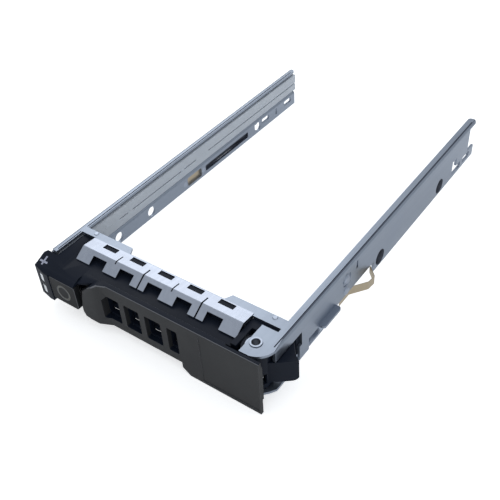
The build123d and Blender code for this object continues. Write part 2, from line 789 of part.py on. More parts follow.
# Torsion spring between the knuckles
torsion_wire = 0.6
torsion_radius = 2.6
torsion_pitch = 1.0
torsion_length = 3.0
with BuildPart() as torsion_spring:
    with BuildLine():
        torsion_seat = (pivot_x, pivot_y, torsion_wire - cam_bottom)
        torsion_coil = Helix(torsion_pitch, torsion_length, torsion_radius, center=torsion_seat)
    with BuildSketch(Plane(origin=torsion_coil @ 0, z_dir=torsion_coil % 0)):
        RegularPolygon(torsion_wire / 2, 6)
    sweep(is_frenet=True)
torsion_spring.part.label = "torsion_spring"
export_step(torsion_spring.part.locate(home), "parts/torsion_spring.step")

# Release button: plate with an engraved ring, stem and the wedge that spreads the latch
with BuildPart() as release_button:
    with BuildSketch(Plane.XZ.offset(button_front - button_plate)):
        with Locations((-button_mid, button_z)):
            RectangleRounded(button_width, button_bottom - button_top, sheet)
    extrude(amount=button_plate)
    with BuildSketch(Plane.XZ.offset(button_front - ring_depth)):
        with Locations((-button_mid, button_z)):
            Circle(ring_outer)
            Circle(ring_inner, mode=Mode.SUBTRACT)
    extrude(amount=ring_depth, mode=Mode.SUBTRACT)
    with Locations(Location((-button_mid, 1 - button_front, button_z), (-90, 0, 0))):
        Cylinder(stem_radius, button_front - 1 - spring_seat + button_travel, align=seated)
    with BuildSketch(Plane.XY.offset(button_z - 1.2)):
        with BuildLine():
            Polyline(
                (-block_right - 0.7, button_plate - button_front - 0.1),
                (-block_right - 0.15, button_plate - button_front - 0.1),
                (-block_right - 0.15, -10.4),
                (-block_right - 0.7, -11.1),
                close=True,
            )
        make_face()
    extrude(amount=2.4)
release_button.part.label = "release_button"
export_step(release_button.part.locate(home), "parts/release_button.step")

# Coil spring behind the button
coil_pitch = 1.05
coil_radius = 1.9
coil_length = button_front - button_plate - spring_seat - 2 * spring_wire
with BuildPart() as button_spring:
    with BuildLine():
        coil_seat = (-button_mid, -spring_seat - spring_wire, button_z)
        button_coil = Helix(coil_pitch, coil_length, coil_radius, center=coil_seat, direction=(0, -1, 0))
    with BuildSketch(Plane(origin=button_coil @ 0, z_dir=button_coil % 0)):
        RegularPolygon(spring_wire / 2, 6)
    sweep(is_frenet=True)
button_spring.part.label = "button_spring"
export_step(button_spring.part.locate(home), "parts/button_spring.step")

# Latch spring: leaf whose hooked end stands in front of the lever's catch
leaf_sheet = 0.3
leaf_x = -block_right - 1.0
with BuildPart() as latch_spring:
    with BuildSketch(Plane.XY.offset(-9.6)):
        with BuildLine():
            FilletPolyline(
                (leaf_x - 3.3, -5.6 - leaf_sheet / 2),
                (leaf_x, -5.6 - leaf_sheet / 2),
                (leaf_x, -9.0),
                (leaf_x + 1.8, -9.0),
                (leaf_x - 0.2, -11.4),
                radius=leaf_sheet,
            )
        trace(line_width=leaf_sheet)
    extrude(amount=3.8)
latch_spring.part.label = "latch_spring"
export_step(latch_spring.part.locate(home), "parts/latch_spring.step")

# Light pipes: a run in the left rail's channel, then a jog out to the lamp windows
with BuildPart() as light_pipe_upper:
    with BuildSketch(Plane.YZ.offset(-pipe_outer)):
        with BuildLine():
            FilletPolyline(
                (pipe_rear, -pipe_top),
                (-pipe_bend, -pipe_top),
                (-pipe_bend - pipe_fall, head_height_pipe / 2 - head_drop_upper),
                (-pipe_bend - pipe_fall - 1, head_height_pipe / 2 - head_drop_upper),
                (-pipe_bend - pipe_fall - 1, -head_height_pipe / 2 - head_drop_upper),
                (-pipe_bend - pipe_fall, -head_height_pipe / 2 - head_drop_upper),
                (-pipe_bend, pipe_upper_low),
                (pipe_rear, pipe_upper_low),
                close=True,
                radius=wall_gap,
            )
        make_face()
    extrude(amount=pipe_width)
    with BuildSketch(Plane.XY.offset(-head_drop_upper - head_height_pipe / 2)):
        with BuildLine():
            Polyline(
                (-head_outer, -body_front + 0.7),
                (-head_inner, -body_front + 0.35),
                (-head_inner, -14.2),
                (-pipe_inner, -12.9),
                (-pipe_inner, -12.2),
                (-pipe_outer, -12.2),
                (-head_outer, -13.6),
                close=True,
            )
        make_face()
    extrude(amount=head_height_pipe)
light_pipe_upper.part.label = "light_pipe_upper"
export_step(light_pipe_upper.part.locate(home), "parts/light_pipe_upper.step")

with BuildPart() as light_pipe_lower:
    with BuildSketch(Plane.YZ.offset(-pipe_outer)):
        with BuildLine():
            FilletPolyline(
                (pipe_rear, pipe_lower_top),
                (-pipe_bend, pipe_lower_top),
                (-pipe_bend - pipe_fall, head_height_pipe / 2 - head_drop_lower),
                (-pipe_bend - pipe_fall - 1, head_height_pipe / 2 - head_drop_lower),
                (-pipe_bend - pipe_fall - 1, -head_height_pipe / 2 - head_drop_lower),
                (-pipe_bend - pipe_fall, -head_height_pipe / 2 - head_drop_lower),
                (-pipe_bend, pipe_lower_low),
                (pipe_rear, pipe_lower_low),
                close=True,
                radius=wall_gap,
            )
        make_face()
    extrude(amount=pipe_width)
    with BuildSketch(Plane.XY.offset(-head_drop_lower - head_height_pipe / 2)):
        with BuildLine():
            Polyline(
                (-head_outer, -body_front + 0.7),
                (-head_inner, -body_front + 0.35),
                (-head_inner, -14.2),
                (-pipe_inner, -12.9),
                (-pipe_inner, -12.2),
                (-pipe_outer, -12.2),
                (-head_outer, -13.6),
                close=True,
            )
        make_face()
    extrude(amount=head_height_pipe)
    # Bridges that space the two runs
    seam_level = (pipe_lower_top - 0.1, pipe_upper_low - 0.02)
    for bridge in ((-1.0, 14.5), (18.4, 20.6), (45.1, 46.7), (53.0, 60.0)):
        add_span((-pipe_outer, -pipe_inner), bridge, seam_level)
light_pipe_lower.part.label = "light_pipe_lower"
export_step(light_pipe_lower.part.locate(home), "parts/light_pipe_lower.step")

# Gaskets of spring fingers, above and below the cross bar
for side, name in ((1, "gasket_top"), (-1, "gasket_bottom")):
    level = 0 if side > 0 else -rail_height
    with BuildPart() as gasket:
        with BuildSketch(Plane.YZ.offset(-gasket_left)):
            with BuildLine():
                FilletPolyline(
                    (-0.3, level + side * gasket_sheet / 2),
                    (-1.2, level + side * gasket_sheet / 2),
                    (-bar_depth, level + side * gasket_crest),
                    (-finger_reach, level - side * finger_drop),
                    radius=0.5,
                )
            trace(line_width=gasket_sheet)
        extrude(amount=gasket_left + gasket_right)
        # Gaps between the fingers, slits that split the strip, and the hooks' windows
        with BuildSketch(Plane.XY.offset(level - 4)):
            with Locations((finger_pitch * 2.5 + finger_width / 2 - gasket_left, -8.1)):
                with GridLocations(finger_pitch, 1, 5, 1):
                    Rectangle(finger_pitch - finger_width, 4.2)
            slit_x = gasket_mid - finger_pitch * 1.5
            with Locations((slit_x, -3.9), (slit_x + finger_pitch * 2, -3.9)):
                Rectangle(0.4, 3.4)
            with Locations((gasket_mid - finger_pitch / 2, -6), (gasket_mid + finger_pitch * 1.5 - 0.3, -6)):
                Rectangle(0.5, 7.4)
            with Locations([(hook_x, -(hook_front + hook_rear) / 2) for hook_x in hook_places]):
                Rectangle(hook_width + 2 * hook_gap, hook_front - hook_rear + hook_gap)
        extrude(amount=8, mode=Mode.SUBTRACT)
    gasket.part.label = name
    export_step(gasket.part.locate(home), "parts/" + name + ".step")

# Grounding clip of the left rail: a leaf behind the strip, seen through its openings
clip_face = -strip_outer - clip_sheet / 2
clip_ramp = (clip_slot_rear - clip_slot_front) * 0.35
with BuildPart() as ground_clip_left:
    with BuildSketch(Plane.XY.offset(screw_z - 2.1)):
        with BuildLine():
            FilletPolyline(
                (clip_face, clip_front_left),
                (clip_face, clip_slot_front + 1),
                (clip_face - clip_bow_left, clip_slot_front + clip_ramp),
                (clip_face - clip_bow_left, clip_slot_rear - clip_ramp),
                (clip_face, clip_slot_rear - 1),
                (clip_face, clip_slot_rear + clip_tail),
                radius=clip_bow_left,
            )
        trace(line_width=clip_sheet)
    extrude(amount=3.8)
    for stake_y in (clip_front_left + 1.4, clip_slot_front - 1.2):
        with Locations(Location((-strip_outer - 1, stake_y, screw_z), (0, 90, 0))):
            Cylinder(stake_radius, 2, align=seated, mode=Mode.SUBTRACT)
ground_clip_left.part.label = "ground_clip_left"
export_step(ground_clip_left.part.locate(home), "parts/ground_clip_left.step")

# Rivets of the left clip: flush on the bay's side, headed outside
with BuildPart() as clip_rivets_left:
    for stake_y in (clip_front_left + 1.4, clip_slot_front - 1.2):
        stake_head_x = -strip_outer - clip_sheet - 0.4
        with Locations(Location((stake_head_x, stake_y, screw_z), (0, 90, 0))):
            Cylinder(stake_head, 0.4, align=seated)
            Cylinder(stake_radius, sheet + clip_sheet + 0.4, align=seated)
clip_rivets_left.part.label = "clip_rivets_left"
export_step(clip_rivets_left.part.locate(home), "parts/clip_rivets_left.step")

# Grounding clip of the right rail: plate inside the web, leaf folded out past it
plate_face = web_inner - clip_sheet / 2
bow_face = rail_outer + clip_bow_right
with BuildPart() as ground_clip_right:
    with BuildSketch(Plane.XY.offset(-13.0)):
        with BuildLine():
            FilletPolyline(
                (plate_face - 0.9, clip_rear_right),
                (plate_face - 0.9, clip_fold_right - 1.6),
                (plate_face, clip_fold_right - 1.6),
                (plate_face, clip_fold_right + 0.5),
                (bow_face - 0.3, clip_fold_right + 5.5),
                (bow_face, clip_fold_right + 8.5),
                (web_inner + 0.5, clip_rear_right - 2.4),
                radius=0.4,
            )
        trace(line_width=clip_sheet)
    extrude(amount=3.0)
    clip_plate = (web_inner - clip_sheet, web_inner)
    add_span(clip_plate, (clip_front_right, clip_fold_right), (-13.0, -lip_drop + 1.6))
    with Locations(
        Location((web_inner - 1, clip_front_right + 2.4, -lip_drop), (0, 90, 0)),
        Location((web_inner - 1, clip_front_right + 2.4, -lip_drop * 2), (0, 90, 0)),
    ):
        Cylinder(stake_radius, 2, align=seated, mode=Mode.SUBTRACT)
ground_clip_right.part.label = "ground_clip_right"
export_step(ground_clip_right.part.locate(home), "parts/ground_clip_right.step")

# Rivets of the right clip, with their heads outside the web
with BuildPart() as clip_rivets_right:
    with Locations(
        Location((web_inner - clip_sheet, clip_front_right + 2.4, -lip_drop), (0, 90, 0)),
        Location((web_inner - clip_sheet, clip_front_right + 2.4, -lip_drop * 2), (0, 90, 0)),
    ):
        Cylinder(stake_radius, sheet + clip_sheet + 0.3, align=seated)
    with Locations(
        Location((rail_outer, clip_front_right + 2.4, -lip_drop), (0, 90, 0)),
        Location((rail_outer, clip_front_right + 2.4, -lip_drop * 2), (0, 90, 0)),
    ):
        Cone(stake_head, stake_head - 0.3, 0.35, align=seated)
clip_rivets_right.part.label = "clip_rivets_right"
export_step(clip_rivets_right.part.locate(home), "parts/clip_rivets_right.step")
print("model done")
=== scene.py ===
import json
from math import radians

import bpy
from mathutils import Euler, Matrix, Vector

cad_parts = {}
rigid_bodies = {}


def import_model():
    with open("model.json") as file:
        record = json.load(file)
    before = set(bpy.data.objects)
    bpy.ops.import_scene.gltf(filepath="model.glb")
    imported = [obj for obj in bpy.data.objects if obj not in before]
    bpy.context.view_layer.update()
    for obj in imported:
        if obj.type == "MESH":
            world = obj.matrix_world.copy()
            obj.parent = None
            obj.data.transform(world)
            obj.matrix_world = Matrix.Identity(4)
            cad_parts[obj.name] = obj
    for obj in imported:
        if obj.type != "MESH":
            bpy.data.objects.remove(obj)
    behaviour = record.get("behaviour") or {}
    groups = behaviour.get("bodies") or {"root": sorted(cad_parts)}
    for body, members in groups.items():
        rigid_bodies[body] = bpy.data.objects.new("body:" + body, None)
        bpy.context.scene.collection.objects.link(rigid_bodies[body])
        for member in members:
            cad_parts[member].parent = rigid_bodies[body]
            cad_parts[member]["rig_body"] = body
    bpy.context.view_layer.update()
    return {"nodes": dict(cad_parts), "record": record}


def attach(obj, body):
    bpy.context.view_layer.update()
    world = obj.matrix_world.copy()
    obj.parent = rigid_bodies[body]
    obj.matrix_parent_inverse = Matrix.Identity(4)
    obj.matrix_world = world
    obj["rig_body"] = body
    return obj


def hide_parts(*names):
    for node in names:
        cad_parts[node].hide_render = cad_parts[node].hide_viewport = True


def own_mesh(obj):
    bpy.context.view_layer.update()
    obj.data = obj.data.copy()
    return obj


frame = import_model()
bpy.ops.object.select_all(action="DESELECT")
scene = bpy.context.scene
scene.view_settings.view_transform = "Standard"

MM = 0.001

# Faces that meet at less than this angle, in degrees, are shaded as one smooth surface
SMOOTH_ANGLE = 35

# Where the photograph was taken from, and the camera's lens, in millimetres and degrees
CAMERA_PLACE = (107.22, -155.2, 155.44)
CAMERA_AZIMUTH = 37.93
CAMERA_ELEVATION = 40.88
CAMERA_ROLL = -3.90
CAMERA_LENS = 53.18
CAMERA_SENSOR = 36.0

# Nothing closer to the camera than this is drawn, in metres
CAMERA_NEAR = 0.01


# Shader node groups shared by the materials


def new_group(name, inputs, outputs):
    """An empty shader group with float inputs (name, default) and outputs (name, socket type)."""
    group = bpy.data.node_groups.new(name, "ShaderNodeTree")
    for label, value in inputs:
        socket = group.interface.new_socket(label, in_out="INPUT", socket_type="NodeSocketFloat")
        socket.default_value = value
    for label, kind in outputs:
        group.interface.new_socket(label, in_out="OUTPUT", socket_type=kind)
    return group, group.nodes.new("NodeGroupInput"), group.nodes.new("NodeGroupOutput")


def add_node(tree, kind, **settings):
    """A node of that kind, with its properties set."""
    node = tree.nodes.new(kind)
    for key, value in settings.items():
        setattr(node, key, value)
    return node


# Scale of the streaks' noise across, along and up: it runs fifty times longer along the rails
STREAK_STRETCH = (1.0, 0.02, 1.0)


def build_rolled_sheet():
    """Fine streaks of rolled steel along the rails, and soft clouds of its plating."""
    group, given, result = new_group(
        "rolled sheet",
        [("Streaks", 900.0), ("Clouds", 60.0)],
        [("Streak", "NodeSocketFloat"), ("Cloud", "NodeSocketFloat")],
    )
    place = add_node(group, "ShaderNodeTexCoord")
    stretch = add_node(group, "ShaderNodeMapping")
    stretch.inputs["Scale"].default_value = STREAK_STRETCH
    streak = add_node(group, "ShaderNodeTexNoise")
    streak.inputs["Detail"].default_value = 3.0
    cloud = add_node(group, "ShaderNodeTexNoise")
    cloud.inputs["Detail"].default_value = 4.0
    group.links.new(place.outputs["Object"], stretch.inputs["Vector"])
    group.links.new(stretch.outputs["Vector"], streak.inputs["Vector"])
    group.links.new(place.outputs["Object"], cloud.inputs["Vector"])
    group.links.new(given.outputs["Streaks"], streak.inputs["Scale"])
    group.links.new(given.outputs["Clouds"], cloud.inputs["Scale"])
    group.links.new(streak.outputs["Fac"], result.inputs["Streak"])
    group.links.new(cloud.outputs["Fac"], result.inputs["Cloud"])
    return group


def build_spark_texture():
    """The fine spark-eroded texture of a moulded surface, and broad drifts of its gloss."""
    group, given, result = new_group(
        "spark texture",
        [("Grain", 4000.0), ("Drift", 90.0)],
        [("Height", "NodeSocketFloat"), ("Gloss", "NodeSocketFloat")],
    )
    place = add_node(group, "ShaderNodeTexCoord")
    grain = add_node(group, "ShaderNodeTexNoise")
    grain.inputs["Detail"].default_value = 2.0
    drift = add_node(group, "ShaderNodeTexNoise")
    drift.inputs["Detail"].default_value = 3.0
    group.links.new(place.outputs["Object"], grain.inputs["Vector"])
    group.links.new(place.outputs["Object"], drift.inputs["Vector"])
    group.links.new(given.outputs["Grain"], grain.inputs["Scale"])
    group.links.new(given.outputs["Drift"], drift.inputs["Scale"])
    group.links.new(grain.outputs["Fac"], result.inputs["Height"])
    group.links.new(drift.outputs["Fac"], result.inputs["Gloss"])
    return group


ROLLED_SHEET = build_rolled_sheet()
SPARK_TEXTURE = build_spark_texture()


def place_group(material, group):
    """The shared group placed in a material."""
    node = material.node_tree.nodes.new("ShaderNodeGroup")
    node.node_tree = group
    return node


# Range of the noise that the groups give, and how far the roughness drifts over it
NOISE_LOW = 0.3
NOISE_HIGH = 0.7
ROUGHNESS_SPREAD = 0.12

# Depth of the relief in millimetres, and its strength on a rolled sheet
RELIEF_DEPTH = 0.05
SHEET_RELIEF = 0.02

# Shares of the rolling streaks and the plating clouds in the colour of a sheet
STREAK_SHARE = 0.45
CLOUD_SHARE = 0.55


def new_material(name):
    """An empty material, its tree and its shader."""
    material = bpy.data.materials.new(name)
    material.use_nodes = True
    return material, material.node_tree, material.node_tree.nodes["Principled BSDF"]


def blend_colours(tree, shader, dark, light, mask):
    """The base colour, which goes from dark to light with a mask."""
    colour = add_node(tree, "ShaderNodeMix", data_type="RGBA")
    colour.inputs["A"].default_value = (*dark, 1)
    colour.inputs["B"].default_value = (*light, 1)
    tree.links.new(mask, colour.inputs["Factor"])
    tree.links.new(colour.outputs["Result"], shader.inputs["Base Color"])


def drift_roughness(tree, shader, roughness, mask):
    """A roughness that drifts about its middle with a mask."""
    rough = add_node(tree, "ShaderNodeMapRange")
    rough.inputs["From Min"].default_value = NOISE_LOW
    rough.inputs["From Max"].default_value = NOISE_HIGH
    rough.inputs["To Min"].default_value = roughness - ROUGHNESS_SPREAD / 2
    rough.inputs["To Max"].default_value = roughness + ROUGHNESS_SPREAD / 2
    tree.links.new(mask, rough.inputs["Value"])
    tree.links.new(rough.outputs["Result"], shader.inputs["Roughness"])


def add_relief(tree, shader, strength, height):
    """A fine relief of the surface."""
    relief = add_node(tree, "ShaderNodeBump")
    relief.inputs["Strength"].default_value = strength
    relief.inputs["Distance"].default_value = RELIEF_DEPTH * MM
    tree.links.new(height, relief.inputs["Height"])
    tree.links.new(relief.outputs["Normal"], shader.inputs["Normal"])


def steel(name, dark, light, roughness):
    """A metal sheet, whose colour drifts with the plating and the rolling streaks."""
    material, tree, shader = new_material(name)
    shader.inputs["Metallic"].default_value = 1.0
    sheet = place_group(material, ROLLED_SHEET)
    mixed = add_node(tree, "ShaderNodeMath", operation="MULTIPLY_ADD")
    mixed.inputs[1].default_value = STREAK_SHARE
    tree.links.new(sheet.outputs["Streak"], mixed.inputs[0])
    clouds = add_node(tree, "ShaderNodeMath", operation="MULTIPLY")
    clouds.inputs[1].default_value = CLOUD_SHARE
    tree.links.new(sheet.outputs["Cloud"], clouds.inputs[0])
    tree.links.new(clouds.outputs[0], mixed.inputs[2])
    blend_colours(tree, shader, dark, light, mixed.outputs[0])
    drift_roughness(tree, shader, roughness, sheet.outputs["Cloud"])
    add_relief(tree, shader, SHEET_RELIEF, sheet.outputs["Streak"])
    return material


def plastic(name, dark, light, roughness, bump=0.25, gloss=0.25):
    """A moulded plastic with a fine texture and slight drifts of colour and gloss."""
    material, tree, shader = new_material(name)
    shader.inputs["Specular IOR Level"].default_value = gloss
    surface = place_group(material, SPARK_TEXTURE)
    blend_colours(tree, shader, dark, light, surface.outputs["Gloss"])
    drift_roughness(tree, shader, roughness, surface.outputs["Gloss"])
    add_relief(tree, shader, bump, surface.outputs["Height"])
    return material


ZINC_STEEL = steel("zinc plated steel", (0.26, 0.3, 0.365), (0.375, 0.42, 0.5), 0.4)
GASKET_STEEL = steel("bright spring strip", (0.27, 0.3, 0.37), (0.5, 0.54, 0.62), 0.3)
RIVET_STEEL = steel("rivet steel", (0.33, 0.37, 0.45), (0.44, 0.49, 0.58), 0.36)
# Painted shade: dark steel for the walls of the cups, the rivet's dish and the clip's tail
PAINTED_SHADE_STEEL = steel("steel with painted shade of recesses", (0.05, 0.055, 0.07), (0.1, 0.11, 0.135), 0.55)
# Painted shade: dark steel for the coined grooves of the flanges
GROOVE_SHADE_STEEL = steel("coined groove steel with painted shade", (0.1, 0.115, 0.15), (0.18, 0.2, 0.25), 0.5)
SPRING_STEEL = steel("spring wire", (0.5, 0.5, 0.53), (0.7, 0.7, 0.74), 0.22)
CLIP_COPPER = steel("clip copper alloy", (0.44, 0.36, 0.25), (0.6, 0.52, 0.39), 0.34)
BLACK_PLASTIC = plastic(
    "black moulded plastic",
    (0.006, 0.0095, 0.0185),
    (0.0105, 0.0145, 0.026),
    0.45,
    gloss=0.12,
)
GREY_PLASTIC = plastic(
    "dark grey moulded plastic",
    (0.026, 0.027, 0.029),
    (0.034, 0.035, 0.038),
    0.5,
)
# Painted highlight: a lighter grey plastic for the rounded edges of the handle and button
EDGE_HIGHLIGHT_GREY = plastic("painted edge highlight of the cover and button", (0.13, 0.136, 0.15), (0.18, 0.186, 0.205), 0.34)
# Painted highlight: a lighter black plastic for the rounded edges of the bezel
EDGE_HIGHLIGHT_BLACK = plastic(
    "painted edge highlight of the bezel",
    (0.022, 0.025, 0.033),
    (0.034, 0.038, 0.05),
    0.34,
)
MARK_PRINT = plastic("pale print", (0.34, 0.36, 0.45), (0.44, 0.46, 0.56), 0.5)
RING_PRINT = plastic("grey print", (0.13, 0.13, 0.115), (0.17, 0.17, 0.15), 0.5)
# White plastic for the pipes' front ends, and a painted highlight on their rounded edges
LENS_AND_EDGE_HIGHLIGHT = plastic(
    "white pipe lens and painted edge highlight",
    (0.8, 0.84, 0.88),
    (0.9, 0.93, 0.96),
    0.2,
    bump=0.03,
    gloss=0.5,
)
BUTTON_PLASTIC = plastic(
    "button plastic",
    (0.01, 0.011, 0.0125),
    (0.016, 0.017, 0.019),
    0.46,
    gloss=0.15,
)
CLEAR_PLASTIC = plastic(
    "light pipe plastic",
    (0.60, 0.66, 0.74),
    (0.74, 0.79, 0.86),
    0.16,
    bump=0.03,
    gloss=0.5,
)
clear_shader = CLEAR_PLASTIC.node_tree.nodes["Principled BSDF"]
clear_shader.inputs["Transmission Weight"].default_value = 0.2
clear_shader.inputs["IOR"].default_value = 1.49

FINISHES = {
    "tray_steel": ZINC_STEEL,
    "black_plastic": BLACK_PLASTIC,
    "grey_plastic": GREY_PLASTIC,
    "button_plastic": BUTTON_PLASTIC,
    "rivet_steel": RIVET_STEEL,
    "spring_steel": SPRING_STEEL,
    "clear_plastic": CLEAR_PLASTIC,
    "gasket_steel": GASKET_STEEL,
    "clip_copper": CLIP_COPPER,
}

for part in frame["record"]["subparts"]:
    node = frame["nodes"][part["node"]]
    node.data.materials.clear()
    node.data.materials.append(FINISHES[part["material_slot"]])

# Copies that stand for their plain nodes

# Zero of the measures along the tray, in millimetres: bay centre, front edge of the
# cross bar, top plane
TRAY_ZERO = Vector((-1.207, -50.05, 18.6))

# Rounding of the handle's upper rim, where that rim lies on the tray, and the shares of a
# normal along an axis from which a face looks to the front or upwards
RIM_ROUND = 0.35
RIM_LOWEST = -3.2
RIM_REAR = -13.9
FACING_FRONT = -0.85
FACING_UP = 0.3

# Points closer than this are merged, and faces within this angle joined, before rounding.
# After it, the shading follows the large faces with this weight
MERGE_GAP = 0.002
FLAT_ANGLE = 1.0
LARGE_FACE_WEIGHT = 100


def at(x, y, z):
    """A point measured on the tray in millimetres, as a place in the scene."""
    return (Vector((x, y, z)) + TRAY_ZERO) * MM


def on_tray(point):
    """A place in the scene, as a point measured on the tray in millimetres."""
    return point / MM - TRAY_ZERO


def copy_node(node_name, ending):
    """A copy of a node that stands for it and may take several finishes."""
    source = frame["nodes"][node_name]
    piece = source.copy()
    piece.data = source.data.copy()
    piece.name = node_name + ending
    for key in list(piece.keys()):
        del piece[key]
    piece.parent = None
    scene.collection.objects.link(piece)
    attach(piece, source["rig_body"])
    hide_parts(node_name)
    return piece


def round_front_rim(piece, width):
    """Round the upper rim of the handle's front, between its front face and its top and slope."""
    sides = {}
    for face in piece.data.polygons:
        for key in face.edge_keys:
            sides.setdefault(key, []).append(face.normal.copy())
    rim = []
    for edge in piece.data.edges:
        ends = [on_tray(piece.data.vertices[index].co) for index in edge.vertices]
        normals = sides.get(edge.key, [])
        high = min(end.z for end in ends) > RIM_LOWEST and max(end.y for end in ends) < RIM_REAR
        faces_front = any(normal.y < FACING_FRONT for normal in normals)
        faces_up = any(normal.z > FACING_UP for normal in normals)
        if len(normals) == 2 and high and faces_front and faces_up:
            rim.append(edge.index)
    bpy.ops.object.mode_set(mode="EDIT")
    bpy.ops.mesh.select_mode(type="EDGE")
    bpy.ops.mesh.select_all(action="DESELECT")
    bpy.ops.object.mode_set(mode="OBJECT")
    for index in rim:
        piece.data.edges[index].select = True
    bpy.ops.object.mode_set(mode="EDIT")
    bpy.ops.mesh.bevel(offset=width * MM, segments=3, affect="EDGES", clamp_overlap=False)
    bpy.ops.object.mode_set(mode="OBJECT")


def softened(node_name, width, segments, angle, edge, rim):
    """A copy of a node with its flat faces merged and its edges rounded, in the node's place."""
    piece = copy_node(node_name, "_rounded")
    bpy.ops.object.select_all(action="DESELECT")
    piece.select_set(True)
    bpy.context.view_layer.objects.active = piece
    bpy.ops.object.mode_set(mode="EDIT")
    bpy.ops.mesh.select_all(action="SELECT")
    bpy.ops.mesh.remove_doubles(threshold=MERGE_GAP * MM)
    bpy.ops.mesh.dissolve_limited(angle_limit=radians(FLAT_ANGLE))
    bpy.ops.object.mode_set(mode="OBJECT")
    if rim:
        round_front_rim(piece, rim)
    bevel = piece.modifiers.new("rounded edges", "BEVEL")
    bevel.width = width * MM
    bevel.segments = segments
    bevel.limit_method = "ANGLE"
    bevel.angle_limit = radians(angle)
    bevel.use_clamp_overlap = True
    # The rounded edges take the given finish, a painted highlight
    if edge:
        piece.data.materials.append(edge)
        bevel.material = 1
    bpy.ops.object.modifier_apply(modifier=bevel.name)
    bpy.ops.object.shade_smooth_by_angle(angle=radians(SMOOTH_ANGLE))
    weighted = piece.modifiers.new("even shading", "WEIGHTED_NORMAL")
    weighted.keep_sharp = True
    weighted.weight = LARGE_FACE_WEIGHT
    bpy.ops.object.modifier_apply(modifier=weighted.name)
    piece.select_set(False)
    return piece


def refinish(piece, material, chosen):
    """Give another material to the faces whose middle (mm on the tray) and normal are chosen."""
    piece.data.materials.append(material)
    index = len(piece.data.materials) - 1
    for face in piece.data.polygons:
        if chosen(on_tray(face.center), face.normal):
            face.material_index = index


# Node, greatest rounding in millimetres, its segments, the least angle of a rounded edge in
# degrees, the finish of the rounding, which is a painted highlight where one is given, and the
# rounding of the upper rim. The rounding may not overlap its neighbours, so near the small
# facets of a fillet it shrinks to a few thousandths: that holds for the tray, the bezel, the
# lever, the pipes and most of the handle.
ROUNDED = (
    ("tray", 0.1, 1, 40, None, 0),
    ("bezel_body", 0.25, 2, 30, EDGE_HIGHLIGHT_BLACK, 0),
    ("handle_cover", 0.35, 3, 35, EDGE_HIGHLIGHT_GREY, RIM_ROUND),
    ("eject_lever", 0.3, 2, 30, None, 0),
    ("release_button", 0.35, 3, 30, EDGE_HIGHLIGHT_GREY, 0),
    ("light_pipe_upper", 0.3, 2, 30, LENS_AND_EDGE_HIGHLIGHT, 0),
    ("light_pipe_lower", 0.3, 2, 30, LENS_AND_EDGE_HIGHLIGHT, 0),
    ("pivot_rivet", 0.12, 2, 30, None, 0),
)
rounded = {entry[0]: softened(*entry) for entry in ROUNDED}

# Where the faces with a finish of their own lie, in millimetres on the tray. The cups, the
# grooves, the rivet's dish and the clip's tail take painted shade
CUPS_Y = (47.5, 89.15)
CUP_Z = -10.85
CUP_RADIUS = 2.9
RIGHT_RAIL_INNER = 35.2
GROOVE_FLOOR = -0.27
GROOVE_TOP = -0.03
DISH_FLOOR = -0.9
DISH_TOP = 0.22
PIPE_HEADS_REAR = -14.5
HANDLE_BACK = -12.9
CLIP_TAIL_FRONT = 55.5

# Least share of a normal along an axis for a face that lies square to it
SQUARE = 0.9

# The same shares on the handle: the most that its top and slope look to the front, the least
# that they look upwards and its left end to the left, and what its rounded rim lies between
TOP_FORWARD = -0.5
TOP_TILT = 0.35
RIM_STEEP = -0.96
RIM_FLAT = -0.28
RIM_UP = 0.2


def in_cup(middle, normal):
    """Faces of the inner walls of the two countersunk cups, which take painted shade."""
    for cup_y in CUPS_Y:
        out = Vector((0, middle.y - cup_y, middle.z - CUP_Z))
        if middle.x > RIGHT_RAIL_INNER and out.length < CUP_RADIUS and normal.dot(out) < 0:
            return True
    return False


def in_groove(middle, normal):
    """Floors and walls of the coined grooves in the top flanges, which take painted shade."""
    square = normal.z > SQUARE or abs(normal.x) > SQUARE
    return GROOVE_FLOOR < middle.z < GROOVE_TOP and square


def in_dish(middle, normal):
    """The hollow in the head of the pivot rivet, which takes painted shade."""
    return DISH_FLOOR < middle.z < DISH_TOP and normal.z > FACING_UP


def on_handle_top(middle, normal):
    """Top, slope and left end of the handle, behind its rim."""
    behind_rim = normal.y > TOP_FORWARD and middle.y < HANDLE_BACK
    return behind_rim and (normal.z > TOP_TILT or normal.x < -TOP_TILT)


def on_handle_rim(middle, normal):
    """The handle's rounded upper rim between front and top, which takes a painted highlight."""
    return RIM_STEEP < normal.y < RIM_FLAT and normal.z > RIM_UP


def on_pipe_head(middle, normal):
    """The front ends of the light pipes, which show in the status windows."""
    return middle.y < PIPE_HEADS_REAR


def on_clip_tail(middle, normal):
    """The part of the left clip behind its window, with the slot's shade painted on it."""
    return middle.y > CLIP_TAIL_FRONT


# Painted shade in the walls of the cups
refinish(rounded["tray"], PAINTED_SHADE_STEEL, in_cup)
# Painted shade in the grooves
refinish(rounded["tray"], GROOVE_SHADE_STEEL, in_groove)
# Painted shade in the rivet's dish
refinish(rounded["pivot_rivet"], PAINTED_SHADE_STEEL, in_dish)
refinish(rounded["light_pipe_upper"], LENS_AND_EDGE_HIGHLIGHT, on_pipe_head)
refinish(rounded["light_pipe_lower"], LENS_AND_EDGE_HIGHLIGHT, on_pipe_head)
refinish(rounded["handle_cover"], BLACK_PLASTIC, on_handle_top)
# Painted highlight on the handle's rim
refinish(rounded["handle_cover"], EDGE_HIGHLIGHT_GREY, on_handle_rim)

return_spring = copy_node("button_spring", "_finished")
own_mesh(return_spring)

# Pieces of the visual model alone. The marks are print that the photograph shows. The visor,
# the rib, the boss and the shoulder are guesses: the photograph shows only black where they are.


